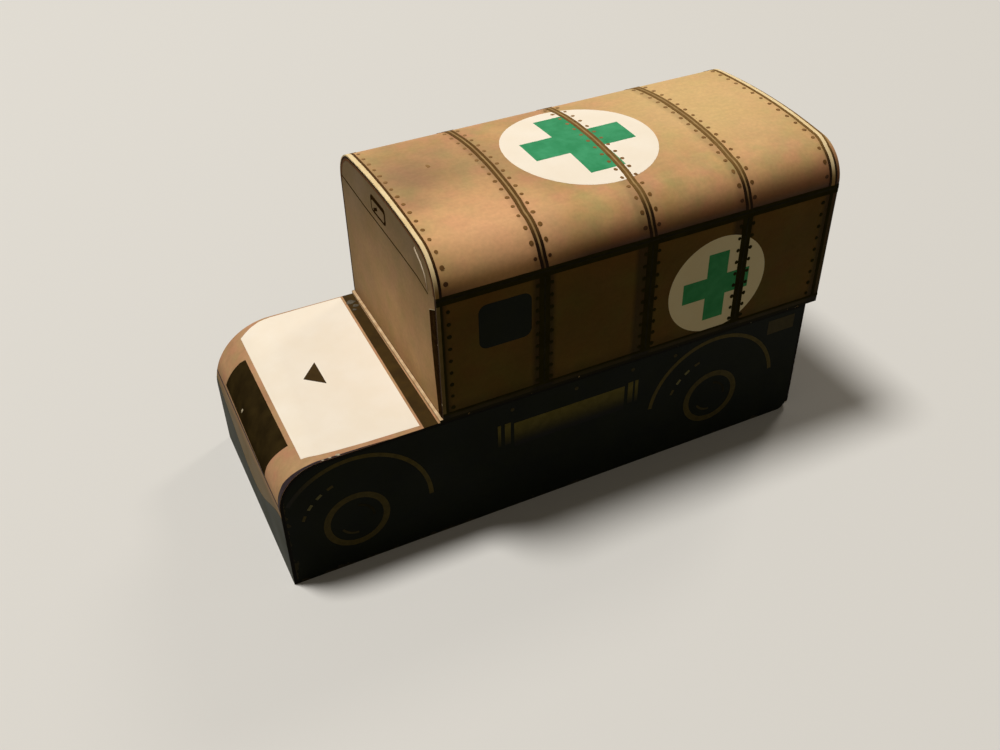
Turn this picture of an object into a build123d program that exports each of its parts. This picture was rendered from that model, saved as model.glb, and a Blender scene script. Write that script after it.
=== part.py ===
from build123d import *
import os
from math import asin, cos, degrees, radians, sin, sqrt

# A small hand-built model of an ambulance lorry, folded and glued from printed card.
# Millimetres. +Z is up, the front faces -Y and +X is the vehicle's own left side.
# The origin is on the table, under the middle of the model's length and width.

# Card
card = 0.3  # thickness of the stock

# Chassis box, open underneath
chassis_length = 54.6
chassis_width = 22.4
deck_height = 13.4  # table to the top of the bonnet and deck
left_nose_radius = 4.1  # roll of the bonnet strip at its left edge, measured outside
right_nose_radius = 6.3  # the same roll at the right edge, where the strip sagged flatter
crushed_corner = 1.0  # rounding that wear left on the left rear bottom corner

# Body box, standing on the deck
body_length = 40.4
side_height = 12.8  # body floor to the gutter
corner_radius = 3.6  # roof corner, measured outside
crown_radius = 75.0  # flat arch between the roof corners
side_overhang = 0.1  # body past each side of the chassis
rear_overhang = 1.15  # body past the rear of the chassis
floor_lip = 0.3  # body floor past the front plate

# Glue tabs inside the chassis
tab_width = 3.0
tab_end_gap = 0.8  # bare card between the end of a tab and the next edge
tab_slant = 1.5  # mitre at the free corners of a tab
notch_count = 5  # V cuts that let a tab follow the nose
notch_width = 0.7
notch_root = 0.7  # uncut card between a notch and the fold

cut_past = 1.0  # how far a cutting shape runs past what it cuts

# Places that follow from the sizes
front_y = -(chassis_length + rear_overhang) / 2
chassis_rear_y = front_y + chassis_length
body_rear_y = chassis_rear_y + rear_overhang
body_front_y = body_rear_y - body_length
body_width = chassis_width + 2 * side_overhang
floor_top = deck_height + card
gutter_z = floor_top + side_height
side_inner_x = chassis_width / 2 - card

# Sides of the vehicle, as the sign of X
left = 1
right = -1


def block(x_low, x_high, y_low, y_high, z_low, z_high):
    # Flat piece of card between two opposite corners.
    size = (x_high - x_low, y_high - y_low, z_high - z_low)
    middle = ((x_low + x_high) / 2, (y_low + y_high) / 2, (z_low + z_high) / 2)
    return Pos(*middle) * Box(*size)


def across(side, inner, outer):
    # Lowest and highest x of a piece that lies between two distances from the middle.
    return sorted((side * inner, side * outer))


def nose_radius(x):
    # The roll opens evenly from the strip's left edge to its right edge.
    share = 0.5 - x / chassis_width
    return left_nose_radius + share * (right_nose_radius - left_nose_radius)


def beyond_nose(inset, x):
    # Outline at x of what the roll leaves off a square nose.
    radius = nose_radius(x)
    centre_y = front_y + radius
    centre_z = deck_height - radius
    front = front_y + inset
    top = deck_height - inset
    roll = CenterArc((centre_y, centre_z), radius - inset, 90, 90)
    past_front = front - cut_past
    past_top = top + cut_past
    corner = Polyline((front, centre_z), (past_front, centre_z), (past_front, past_top),
                      (centre_y, past_top), (centre_y, top))
    return Plane.YZ.offset(x) * make_face(roll + corner)


def chassis_block(inset, x_low, x_high, rear, foot):
    # Solid with the shape of the chassis box, inset behind its front face, nose and deck.
    half = chassis_width / 2 + cut_past
    nose = loft([beyond_nose(inset, -half), beyond_nose(inset, half)], ruled=True)
    return block(x_low, x_high, front_y + inset, rear, foot, deck_height - inset) - nose


def bent_card(inset, x_low, x_high, rear, foot):
    # One thickness of card bent over the nose: front face, roll and deck.
    outside = chassis_block(inset, x_low, x_high, rear, foot)
    past = cut_past
    inside = chassis_block(inset + card, x_low - past, x_high + past, rear + past, foot - past)
    return outside - inside


def chassis_side(side):
    # Flat side, set inside the bonnet strip and the rear panel that close the box.
    x_low, x_high = across(side, side_inner_x, chassis_width / 2)
    return chassis_block(card, x_low, x_high, chassis_rear_y - card, 0)


def crushed_chassis_side():
    panel = chassis_side(left)
    corner = panel.edges().filter_by(Axis.X).group_by(Axis.Z)[0].sort_by(Axis.Y)[-1]
    return fillet(corner, crushed_corner)


def bonnet_strip():
    # Front face, rolled nose, bonnet and deck: one strip bent over both sides.
    half = chassis_width / 2
    return bent_card(0, -half, half, chassis_rear_y, 0)


def chassis_rear_panel():
    half = chassis_width / 2
    panel = block(-half, half, chassis_rear_y - card, chassis_rear_y, 0, deck_height - card)
    corner = panel.edges().filter_by(Axis.Y).group_by(Axis.Z)[0].sort_by(Axis.X)[-1]
    return fillet(corner, crushed_corner)


def notch(side, angle):
    # V cut from a tab's free edge towards its fold, square to the rolled nose.
    free_x = side_inner_x - tab_width
    roll = nose_radius(side * (free_x + side_inner_x) / 2)
    radius = roll - card - card / 2  # the strip lies outside the tab
    outward = (0, cos(radians(angle)), sin(radians(angle)))
    origin = (0, front_y + roll + radius * outward[1], deck_height - roll + radius * outward[2])
    half = notch_width / 2
    wedge = Polyline((free_x, half), (free_x, -half), (side_inner_x - notch_root, 0), (free_x, half))
    face = Plane(origin=origin, x_dir=(side, 0, 0), z_dir=outward) * make_face(wedge)
    return extrude(face, card, both=True)


def bonnet_tab(side):
    # Tab folded in from the top and front of a side, glued to the back of the bonnet strip.
    x_low, x_high = across(side, side_inner_x - tab_width, side_inner_x)
    tab = bent_card(card, x_low, x_high, chassis_rear_y - card - tab_end_gap, tab_end_gap)
    free_edge = 0 if side == left else -1
    rear_end = tab.edges().filter_by(Axis.Z).group_by(Axis.Y)[-1].sort_by(Axis.X)[free_edge]
    front_end = tab.edges().filter_by(Axis.Y).group_by(Axis.Z)[0].sort_by(Axis.X)[free_edge]
    tab = chamfer([rear_end, front_end], tab_slant)
    step = 90 / notch_count
    for number in range(notch_count):
        tab -= notch(side, 90 + step * (number + 0.5))
    return tab


def rear_corner_tab():
    # Tab folded in from the rear edge of a side, glued to the back of the rear panel.
    top = deck_height - 2 * card - tab_end_gap
    back = chassis_rear_y - card
    tab = block(side_inner_x - tab_width, side_inner_x, back - card, back, tab_end_gap, top)
    free_corners = tab.edges().filter_by(Axis.Y).group_by(Axis.X)[0]
    return chamfer(free_corners, tab_slant)


def rear_deck_tab():
    # Tab folded in from the top of the rear panel, glued under the deck between the side tabs.
    half = side_inner_x - tab_width - tab_end_gap
    back = chassis_rear_y - card
    tab = block(-half, half, back - tab_width, back, deck_height - 2 * card, deck_height - card)
    free_corners = tab.edges().filter_by(Axis.Z).group_by(Axis.Y)[0]
    return chamfer(free_corners, tab_slant)


def body_floor():
    half = body_width / 2
    return block(-half, half, body_front_y - floor_lip, body_rear_y, deck_height, floor_top)


def body_side():
    outer = body_width / 2
    return block(outer - card, outer, body_front_y, body_rear_y, floor_top, gutter_z)


def roof_arch(inset):
    # Three tangent arcs from gutter to gutter, drawn inset inside the roof's outer skin.
    corner_x = body_width / 2 - corner_radius
    reach = crown_radius - corner_radius
    lean = degrees(asin(corner_x / reach))
    crown_z = gutter_z - sqrt(reach**2 - corner_x**2)
    corner = corner_radius - inset
    left_corner = CenterArc((corner_x, gutter_z), corner, 0, 90 - lean)
    crown = CenterArc((0, crown_z), crown_radius - inset, 90 - lean, 2 * lean)
    right_corner = CenterArc((-corner_x, gutter_z), corner, 90 + lean, 90 - lean)
    return left_corner + crown + right_corner


def along_y(end_view, y_low, y_high):
    return extrude(Plane.XZ.offset(-y_high) * end_view, y_high - y_low)


def roof_wrap():
    # Arched roof from gutter to gutter, one card thick.
    outer = body_width / 2
    left_edge = Line((outer - card, gutter_z), (outer, gutter_z))
    right_edge = Line((-outer, gutter_z), (card - outer, gutter_z))
    skin = make_face(roof_arch(0) + roof_arch(card) + left_edge + right_edge)
    return along_y(skin, body_front_y, body_rear_y)


def end_plate(y_low):
    # Upright end of the body, inside the sides and the roof wrap.
    half = body_width / 2 - card
    walls = Polyline((-half, gutter_z), (-half, floor_top), (half, floor_top), (half, gutter_z))
    return along_y(make_face(roof_arch(card) + walls), y_low, y_low + card)


def mirrored(piece):
    return mirror(piece, Plane.YZ)


pieces = {
    "chassis_side_left": crushed_chassis_side(),
    "chassis_side_right": chassis_side(right),
    "bonnet_strip": bonnet_strip(),
    "chassis_rear_panel": chassis_rear_panel(),
    "bonnet_tab_left": bonnet_tab(left),
    "bonnet_tab_right": bonnet_tab(right),
    "rear_corner_tab_left": rear_corner_tab(),
    "rear_corner_tab_right": mirrored(rear_corner_tab()),
    "rear_deck_tab": rear_deck_tab(),
    "body_floor": body_floor(),
    "body_side_left": body_side(),
    "body_side_right": mirrored(body_side()),
    "roof_wrap": roof_wrap(),
    "body_front_plate": end_plate(body_front_y),
    "body_rear_plate": end_plate(body_rear_y - card),
}

os.makedirs("parts", exist_ok=True)
for name, piece in pieces.items():
    export_step(piece, f"parts/{name}.step")
    print(f"{name}: {piece.volume:.2f} mm3")
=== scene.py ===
import math

import bmesh
import bpy
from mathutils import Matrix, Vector


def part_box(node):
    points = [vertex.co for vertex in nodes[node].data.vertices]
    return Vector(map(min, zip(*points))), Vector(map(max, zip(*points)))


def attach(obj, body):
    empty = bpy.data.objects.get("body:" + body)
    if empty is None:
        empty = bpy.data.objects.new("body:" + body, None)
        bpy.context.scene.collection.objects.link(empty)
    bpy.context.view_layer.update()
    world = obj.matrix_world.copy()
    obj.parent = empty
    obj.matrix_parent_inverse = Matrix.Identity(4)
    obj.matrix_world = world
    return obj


# Folded card model of an ambulance lorry. Lengths are millimetres until a piece is placed.

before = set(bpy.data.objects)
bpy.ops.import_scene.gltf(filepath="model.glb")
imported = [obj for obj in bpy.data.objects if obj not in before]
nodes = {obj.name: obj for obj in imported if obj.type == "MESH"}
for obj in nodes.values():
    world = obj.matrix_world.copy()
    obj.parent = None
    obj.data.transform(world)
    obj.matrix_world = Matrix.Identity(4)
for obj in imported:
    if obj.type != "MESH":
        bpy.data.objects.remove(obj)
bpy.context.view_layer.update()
mm = 0.001
print("frame loaded,", len(nodes), "card panels")


def boxOf(name):
    low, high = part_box(name)
    return [value / mm for value in low], [value / mm for value in high]


def linear(hexColour):
    # sRGB hex to the linear colour that shaders use
    parts = [int(hexColour[i:i + 2], 16) / 255 for i in (1, 3, 5)]
    return tuple(p / 12.92 if p <= 0.04045 else ((p + 0.055) / 1.055) ** 2.4 for p in parts) + (1.0,)


def addNode(tree, kind, inputs=None, **settings):
    node = tree.nodes.new(kind)
    for key, value in settings.items():
        setattr(node, key, value)
    for socket, value in (inputs or {}).items():
        if isinstance(value, bpy.types.NodeSocket):
            tree.links.new(value, node.inputs[socket])
        else:
            node.inputs[socket].default_value = value
    return node


def newMaterial(name):
    material = bpy.data.materials.new(name)
    material.use_nodes = True
    material.node_tree.nodes.clear()
    return material, material.node_tree


def keepPiece(name, mesh):
    piece = bpy.data.objects.new(name, mesh)
    bpy.context.scene.collection.objects.link(piece)
    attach(piece, "root")
    return piece


# The card model's own sizes, from the frame where it holds them
sideLow, sideHigh = boxOf("body_side_left")
stripLow, stripHigh = boxOf("bonnet_strip")
shape = {
    "leftRoll": 4.1,        # roll of the nose at the strip's left edge
    "rightRoll": 6.3,       # the same roll at the right edge, where the strip sagged flatter
    "cornerRadius": 3.6,    # roof corner
    "crownRadius": 75.0,    # flat arch of the roof
    "card": 0.3,
    "bay": 10.1,            # spacing of the printed ribs
    "ribShift": (-0.22, 0.25, 0.12),    # how far each rib is printed from its even place
}
bodyHalf = sideHigh[0]
bodyFront, bodyRear = sideLow[1], sideHigh[1]
floorTop, gutter = sideLow[2], sideHigh[2]
chassisHalf = stripHigh[0]
stripFront, stripRear = stripLow[1], stripHigh[1]
deck = stripHigh[2]
cornerX = bodyHalf - shape["cornerRadius"]
crownReach = shape["crownRadius"] - shape["cornerRadius"]
crownZ = gutter - math.sqrt(crownReach ** 2 - cornerX ** 2)
crownLean = math.asin(cornerX / crownReach)
crownHalf = shape["crownRadius"] * crownLean
archHalf = crownHalf + shape["cornerRadius"] * (math.pi / 2 - crownLean)
ribs = [bodyFront + shape["bay"] * (k + 1) + shift for k, shift in enumerate(shape["ribShift"])]


def rollAt(x):
    share = 0.5 - x / (2 * chassisHalf)
    return shape["leftRoll"] + share * (shape["rightRoll"] - shape["leftRoll"])


def bendLength(x):
    # way over the nose at x, from the foot of the widest roll to its rear end
    return 2 * (shape["rightRoll"] - rollAt(x)) + rollAt(x) * math.pi / 2


bendFoot = deck - shape["rightRoll"]
bendRear = stripFront + shape["rightRoll"]
bendSpan = bendLength(0)


# Where a printed sheet lies: each takes u, v on the sheet and the height above the card
def onBody(u, v, lift):
    # u runs round the body from the crown, positive to the left side, v runs along it
    side = math.copysign(1, u)
    reach = abs(u)
    if reach <= crownHalf:
        turn = reach / shape["crownRadius"]
        radius = shape["crownRadius"] + lift
        return Vector((side * radius * math.sin(turn), v, crownZ + radius * math.cos(turn)))
    if reach <= archHalf:
        turn = crownLean + (reach - crownHalf) / shape["cornerRadius"]
        radius = shape["cornerRadius"] + lift
        return Vector((side * (cornerX + radius * math.sin(turn)), v, gutter + radius * math.cos(turn)))
    return Vector((side * (bodyHalf + lift), v, gutter - (reach - archHalf)))


def onBonnet(u, v, lift):
    # u runs up the front face, over the rolled nose and back along the deck, v runs across
    if u <= bendFoot:
        return Vector((v, stripFront - lift, u))
    if u >= bendFoot + bendSpan:
        return Vector((v, bendRear + u - bendFoot - bendSpan, deck + lift))
    roll = rollAt(v)
    along = (u - bendFoot) / bendSpan * bendLength(v) - (shape["rightRoll"] - roll)
    turn = min(max(along / roll, 0), math.pi / 2)
    below = min(along, 0)
    behind = max(along - roll * math.pi / 2, 0)
    return Vector((v, stripFront + roll - (roll + lift) * math.cos(turn) + behind,
                   deck - roll + (roll + lift) * math.sin(turn) + below))


def onLeft(u, v, lift):
    return Vector((chassisHalf + lift, u, v))


def onRight(u, v, lift):
    return Vector((-chassisHalf - lift, u, v))


def onFrontPlate(u, v, lift):
    return Vector((u, bodyFront - lift, v))


def onRearPlate(u, v, lift):
    return Vector((u, bodyRear + lift, v))


def onTail(u, v, lift):
    return Vector((u, stripRear + lift, v))


def deckU(y):
    return bendFoot + bendSpan + y - bendRear


def sideU(z, side):
    return side * (archHalf + gutter - z)


def evenly(start, stop, step):
    count = max(1, round((stop - start) / step))
    return [start + (stop - start) * k / count for k in range(count + 1)]


# The same cuts in every sheet keep the layers parallel on the bent card
sheets = {
    "bendStep": 0.2, "crownStep": 1.2, "acrossStep": 1.6,    # spacing of the cuts
    "weld": 1e-4, "onCut": 1e-5,    # distances within which corners are one or lie on a cut
    "sharpFrom": 35,    # degrees between two faces past which their edge is sharp
    "layer": 0.012,    # height of one printed layer, a little thicker than ink so that layers stay apart
}
bodyCuts = evenly(-crownHalf, crownHalf, sheets["crownStep"])
bodyCuts += evenly(crownHalf, archHalf, sheets["bendStep"])
bodyCuts += evenly(-archHalf, -crownHalf, sheets["bendStep"])
bendCuts = evenly(bendFoot, bendFoot + bendSpan, sheets["bendStep"])
sheetCuts = {
    onBody: (bodyCuts, ()),
    onBonnet: (bendCuts, evenly(-chassisHalf, chassisHalf, sheets["acrossStep"])),
}


def layInk(name, outlines, surface, layer, material):
    # thin printed layer: outlines in sheet millimetres, cut to follow the bend, with real thickness
    sheet = bmesh.new()
    for outline in outlines:
        sheet.faces.new([sheet.verts.new((u, v, 0)) for u, v in outline])
    bmesh.ops.remove_doubles(sheet, verts=sheet.verts, dist=sheets["weld"])
    bmesh.ops.triangulate(sheet, faces=sheet.faces)
    for cuts, direction in zip(sheetCuts.get(surface, ()), ((1, 0, 0), (0, 1, 0))):
        for cut in cuts:
            parts = sheet.verts[:] + sheet.edges[:] + sheet.faces[:]
            bmesh.ops.bisect_plane(sheet, geom=parts, plane_co=Vector(direction) * cut, plane_no=direction,
                                   dist=sheets["onCut"])
    bmesh.ops.triangulate(sheet, faces=sheet.faces)
    raised = bmesh.ops.extrude_face_region(sheet, geom=sheet.faces[:])["geom"]
    top = {v for v in raised if isinstance(v, bmesh.types.BMVert)}
    for v in sheet.verts:
        lift = sheets["layer"] * (layer + 1) if v in top else -sheets["layer"] / 2
        v.co = surface(v.co.x, v.co.y, lift) * mm
    bmesh.ops.recalc_face_normals(sheet, faces=sheet.faces)
    mesh = bpy.data.meshes.new(name)
    sheet.to_mesh(mesh)
    sheet.free()
    mesh.shade_smooth()
    mesh.set_sharp_from_angle(angle=math.radians(sheets["sharpFrom"]))
    mesh.materials.append(material)
    return keepPiece(name, mesh)


def layInks(surface, prints, sideName=""):
    for name, outlines, layer, material in prints:
        layInk(name + sideName, outlines, surface, layer, material)


def rectangle(uLow, uHigh, vLow, vHigh):
    return [(uLow, vLow), (uHigh, vLow), (uHigh, vHigh), (uLow, vHigh)]


def turns(start, stop, count):
    return [math.radians(start + (stop - start) * k / count) for k in range(count)]


def oval(u, v, reachU, reachV, count=72):
    return [(u + reachU * math.cos(t), v + reachV * math.sin(t)) for t in turns(0, 360, count)]


def blot(u, v, radius, uneven, stretch=1.5, count=14):
    # small ragged patch, wider along u
    return [(u + radius * stretch * math.cos(t) * (1 + uneven * math.sin(3 * t + u)),
             v + radius * math.sin(t) * (1 + uneven * math.cos(2 * t + v))) for t in turns(0, 360, count)]


def arcBand(u, v, outer, inner, start=0, stop=360, count=72):
    angles = turns(start, stop, count) + [math.radians(stop)]
    quads = []
    for a, b in zip(angles, angles[1:]):
        quads.append([(u + r * math.cos(t), v + r * math.sin(t)) for r, t in
                      ((inner, a), (outer, a), (outer, b), (inner, b))])
    return quads


def crossOutline(u, v, reachU, reachV, half):
    corner = [(half, reachV), (half, half), (reachU, half)]
    quarter = [(-half, reachV)] + corner + [(reachU, -half), (half, -half), (half, -reachV)]
    rest = [(-half, -reachV), (-half, -half), (-reachU, -half), (-reachU, half), (-half, half)]
    return [(u + a, v + b) for a, b in quarter + rest]


def roundedBox(uLow, uHigh, vLow, vHigh, radius, count=8):
    points = []
    corners = ((uHigh - radius, vHigh - radius, 0), (uLow + radius, vHigh - radius, 90),
               (uLow + radius, vLow + radius, 180), (uHigh - radius, vLow + radius, 270))
    for u, v, start in corners:
        points += [(u + radius * math.cos(t), v + radius * math.sin(t))
                   for t in turns(start, start + 90, count) + [math.radians(start + 90)]]
    return points


def lineFrame(uLow, uHigh, vLow, vHigh, line):
    return [rectangle(uLow, uHigh, vLow, vLow + line), rectangle(uLow, uHigh, vHigh - line, vHigh),
            rectangle(uLow, uLow + line, vLow + line, vHigh - line),
            rectangle(uHigh - line, uHigh, vLow + line, vHigh - line)]


def ribbon(points, width):
    # line of one width through a few points
    quads = []
    for (a, b), (c, d) in zip(points, points[1:]):
        length = math.hypot(c - a, d - b)
        p, q = (b - d) / length * width / 2, (c - a) / length * width / 2
        quads.append([(a - p, b - q), (c - p, d - q), (c + p, d + q), (a + p, b + q)])
    return quads


# Camera at the photograph's viewing angle
cameraLook = {
    "place": (78.31, -38.38, 76.18),
    "turn": (51.203, 1.021, 64.084),
    "focal": 1090.47,       # in pixels of an image that is imageWidth wide
    "imageWidth": 1000,
    "sensor": 36.0,
    "nearest": 0.002,
}
cameraData = bpy.data.cameras.new("camera")
cameraData.sensor_width = cameraLook["sensor"]
cameraData.lens = cameraLook["focal"] * cameraLook["sensor"] / cameraLook["imageWidth"]
cameraData.clip_start = cameraLook["nearest"]
camera = bpy.data.objects.new("camera", cameraData)
bpy.context.scene.collection.objects.link(camera)
bpy.context.scene.camera = camera
camera.location = [value * mm for value in cameraLook["place"]]
camera.rotation_euler = [math.radians(value) for value in cameraLook["turn"]]
print("camera placed")


# Finishes. A patch is its size in millimetres and the detail of its noise
paper = {
    "middle": (0.3, 0.7),    # range in which most values of a noise lie
    "dullPatch": (4.0, 2.0), "dullChange": 0.05,    # where a print is a little duller or glossier
    "fibre": {"patch": (0.33, 5.0), "relief": 0.25, "depth": 0.02},    # felt through a print
    "felt": {"patch": (0.8, 6.0), "relief": 0.4, "depth": 0.03},    # on bare card
}
# directions of a fade; the edge of the climbing one rises towards the rear
fadeAlong = {"Y": (0, 1, 0), "Z": (0, 0, 1), "across": (1, 0, 0), "climbing": (0, -0.035, 1)}
smoothly = {"interpolation_type": "SMOOTHSTEP"}


def inMillimetres(tree):
    place = addNode(tree, "ShaderNodeTexCoord").outputs["Object"]
    return addNode(tree, "ShaderNodeVectorMath", {0: place, "Scale": 1 / mm}, operation="SCALE").outputs[0]


def wandering(tree, place, patch, span, values):
    # value that wanders between two limits
    noise = addNode(tree, "ShaderNodeTexNoise", {"Vector": place, "Scale": 1 / patch[0], "Detail": patch[1]})
    return addNode(tree, "ShaderNodeMapRange", {"Value": noise.outputs["Fac"], "From Min": span[0],
                   "From Max": span[1], "To Min": values[0], "To Max": values[1]}).outputs[0]


def clouded(tree, place, patch, span, tones):
    # clouds of two tones
    noise = addNode(tree, "ShaderNodeTexNoise", {"Vector": place, "Scale": 1 / patch[0], "Detail": patch[1]})
    ramp = addNode(tree, "ShaderNodeValToRGB", {"Fac": noise.outputs["Fac"]})
    for element, position, tone in zip(ramp.color_ramp.elements, span, tones):
        element.position = position
        element.color = linear(tone)
    return ramp.outputs[0]


def washed(tree, colour, tone, value, span, shares, **settings):
    # lays a tone over the colour, in shares that follow a value over its span
    amount = addNode(tree, "ShaderNodeMapRange", {"Value": value, "From Min": span[0], "From Max": span[1],
                     "To Min": shares[0], "To Max": shares[1]}, **settings).outputs[0]
    return addNode(tree, "ShaderNodeMix", {"Factor": amount, 6: colour, 7: linear(tone)},
                   data_type="RGBA").outputs[2]


def faded(tree, place, colour, fades):
    # shading mixed into a colour: each fade mixes a colour in towards one end of a direction; some fades are
    # the print's own airbrushing, others are painted shade
    for direction, start, stop, tone, share in fades:
        way = addNode(tree, "ShaderNodeVectorMath", {0: place, 1: fadeAlong[direction]},
                      operation="DOT_PRODUCT").outputs["Value"]
        colour = washed(tree, colour, tone, way, (start, stop), (share, 0.0), **smoothly)
    return colour


def cardSkin(tree, place, colour, roughness, gloss, fibres):
    # matt card, with or without ink: its fibres give a faint uneven surface
    size, detail = fibres["patch"]
    noise = addNode(tree, "ShaderNodeTexNoise", {"Vector": place, "Scale": 1 / size, "Detail": detail})
    bump = addNode(tree, "ShaderNodeBump", {"Height": noise.outputs["Fac"], "Strength": fibres["relief"],
                   "Distance": fibres["depth"] * mm})
    skin = addNode(tree, "ShaderNodeBsdfPrincipled", {"Base Color": colour, "Roughness": roughness,
                   "Normal": bump.outputs[0], "Specular IOR Level": gloss})
    addNode(tree, "ShaderNodeOutputMaterial", {"Surface": skin.outputs[0]})


def inkSkin(tree, place, colour, look):
    low, high = look["roughness"] - paper["dullChange"], look["roughness"] + paper["dullChange"]
    roughness = wandering(tree, place, paper["dullPatch"], paper["middle"], (low, high))
    cardSkin(tree, place, colour, roughness, look["gloss"], paper["fibre"])


# Printed sheets
inkjet = {
    "clouds": (0.36, 0.64), "tints": (0.42, 0.68), "cloudDetail": 2.0, "tintDetail": 3.0,
    "streak": (0.7, 4.0), "streakTurn": (0.4, 0.5, 0.7), "streakStretch": (1.4, 0.5, 1.4),
    "dot": (0.35, 2.0),    # the printer's dots are about 0.05 mm, drawn coarser so that they show
    "streakShade": (0.96, 1.04), "dotShade": (0.95, 1.05),
    "patchCore": 0.15,    # share of a soft patch's reach that it covers fully
    "slipStarts": 9.0,    # way from the roof's middle to its left at which the ribs' shadow starts to slip
}


def ribShadow(tree, place, look):
    # airbrushed shadow on the front side of each rib, slipped over the roof as the ribs are
    split = addNode(tree, "ShaderNodeSeparateXYZ", {"Vector": place}).outputs
    slip = addNode(tree, "ShaderNodeMapRange", {"Value": split["X"], "From Min": inkjet["slipStarts"],
                   "From Max": 0.0, "To Min": look["ribSlip"][0], "To Max": look["ribSlip"][1]}).outputs[0]
    unslipped = addNode(tree, "ShaderNodeMath", {0: split["Y"], 1: slip}, operation="SUBTRACT").outputs[0]
    firstRib = bodyFront + shape["bay"] - look["ribOffset"]
    fromRib = addNode(tree, "ShaderNodeMath", {0: unslipped, 1: firstRib}, operation="SUBTRACT").outputs[0]
    away = addNode(tree, "ShaderNodeMath", {0: fromRib, 1: shape["bay"] / 2}, operation="PINGPONG")
    return addNode(tree, "ShaderNodeMapRange", {"Value": away.outputs[0], "From Min": look["ribCore"],
                   "From Max": look["ribReach"], "To Min": look["ribShade"], "To Max": 1.0},
                   **smoothly).outputs[0]


def printedCard(name, look):
    # Inkjet print on matt card: soft clouds of two inks, fine streaks and grain; dry, barely glossy
    material, tree = newMaterial(name)
    place = inMillimetres(tree)
    colour = clouded(tree, place, (look["patch"], inkjet["cloudDetail"]), inkjet["clouds"],
                     (look["dark"], look["light"]))
    for tone, size, share in look["tints"]:
        cloud = addNode(tree, "ShaderNodeTexNoise", {"Vector": place, "Scale": 1 / size,
                        "Detail": inkjet["tintDetail"]}).outputs["Fac"]
        colour = washed(tree, colour, tone, cloud, inkjet["tints"], (0.0, share))
    colour = faded(tree, place, colour, look["fades"])
    # soft round patches: the print's own tone, and on the roof also a painted highlight
    for centre, reach, tone, share in look.get("patches", ()):
        away = addNode(tree, "ShaderNodeVectorMath", {0: place, 1: centre}, operation="DISTANCE")
        span = (reach * inkjet["patchCore"], reach)
        colour = washed(tree, colour, tone, away.outputs["Value"], span, (share, 0.0), **smoothly)
    slant = addNode(tree, "ShaderNodeMapping", {"Vector": place, "Rotation": inkjet["streakTurn"],
                    "Scale": inkjet["streakStretch"]}).outputs[0]
    shades = [wandering(tree, slant, inkjet["streak"], paper["middle"], inkjet["streakShade"]),
              wandering(tree, place, inkjet["dot"], paper["middle"], inkjet["dotShade"])]
    if "ribShade" in look:
        shades.append(ribShadow(tree, place, look))
    shade = shades[0]
    for part in shades[1:]:
        shade = addNode(tree, "ShaderNodeMath", {0: shade, 1: part}, operation="MULTIPLY").outputs[0]
    toned = addNode(tree, "ShaderNodeVectorMath", {0: colour, "Scale": shade}, operation="SCALE").outputs[0]
    inkSkin(tree, place, toned, look)
    return material


# roof: warm tan, redder and darker towards the gutter as painted shade, greyer in front, and yellower at the
# rear and paler at the left front, where pale patches are a painted highlight
tanRoof = printedCard("tanPrintWithPaintedShadeAndHighlight", {
    "dark": "#be955f", "light": "#cca26c", "patch": 6.0, "roughness": 0.62, "gloss": 0.15,
    "tints": (("#cf8d6b", 2.4, 0.5), ("#a09a5e", 2.0, 0.5), ("#c08a68", 5.0, 0.4)),
    "ribShade": 0.8, "ribOffset": 0.35, "ribCore": 0.3, "ribReach": 0.9, "ribSlip": (-0.26, 0.45),
    # painted shade where the roof turns down towards the gutter
    "fades": (("climbing", gutter - 0.2, gutter + 2.4, "#6a3420", 0.75),
              ("Z", gutter, gutter + 0.9, "#24160c", 0.8)),
    # the dark patches are the print's greyer tone; the two wide pale ones, at the rear and the left front,
    # are a painted highlight
    "patches": (((-2.0, -8.0, 30.0), 9.0, "#8a6d4e", 0.5), ((0.5, 1.0, 30.4), 7.0, "#9c7b55", 0.4),
                ((-1.0, -9.5, 30.4), 3.6, "#84644a", 0.4), ((3.0, -10.5, 30.2), 2.4, "#84644a", 0.35),
                ((-3.0, 21.0, 30.4), 16.0, "#dcb97e", 0.75), ((8.5, -6.0, 29.0), 9.0, "#e2ac7c", 0.75)),
})
# sides: olive brown, a little darker than their print as painted shade, browner under the gutter and darker
# at the foot
oliveSide = printedCard("oliveBrownPrintWithPaintedShade", {
    "dark": "#5c4821", "light": "#685127", "patch": 6.0, "roughness": 0.62, "gloss": 0.05,
    "tints": (("#524e22", 3.0, 0.45), ("#654221", 2.4, 0.35)),
    "ribShade": 0.35, "ribOffset": 0.3, "ribCore": 0.7, "ribReach": 1.35, "ribSlip": (0.0, 0.0),
    "fades": (("Z", gutter - 0.8, gutter - 3.5, "#714c22", 0.4),
              ("Z", floorTop + 0.4, floorTop + 2.0, "#2e2714", 0.5),
              ("Z", floorTop + 0.42, floorTop + 0.6, "#221e0f", 0.8)),
})
# end plates: tan, darkened to olive under the arch and on the right half as painted shade
tanPlate = printedCard("tanPlatePrintWithPaintedShade", {
    "dark": "#a88356", "light": "#b68f61", "patch": 6.0, "roughness": 0.62, "gloss": 0.12,
    "tints": (("#b08260", 2.5, 0.45), ("#908351", 2.0, 0.3)),
    "fades": (("Z", gutter + 4.2, gutter - 8.0, "#554726", 0.78), ("across", -11.0, 1.0, "#6a5636", 0.5)),
})
# bonnet and nose: plain tan, darkened to olive down the front face as painted shade
tanBonnet = printedCard("plainTanPrintWithPaintedShade", {
    "dark": "#ad835e", "light": "#bd926b", "patch": 4.0, "roughness": 0.62, "gloss": 0.12,
    "tints": (("#c08566", 1.6, 0.55), ("#a3915f", 1.9, 0.4)), "fades": (("Z", 7.5, 10.8, "#62522d", 0.9),),
})


# Single inks
usualInk = {"roughness": 0.6, "gloss": 0.1}    # of an ink whose own look gives no other
inkCover = {"clouds": (0.35, 0.7), "cloudDetail": 4.0, "chips": (0.46, 0.7)}


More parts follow.
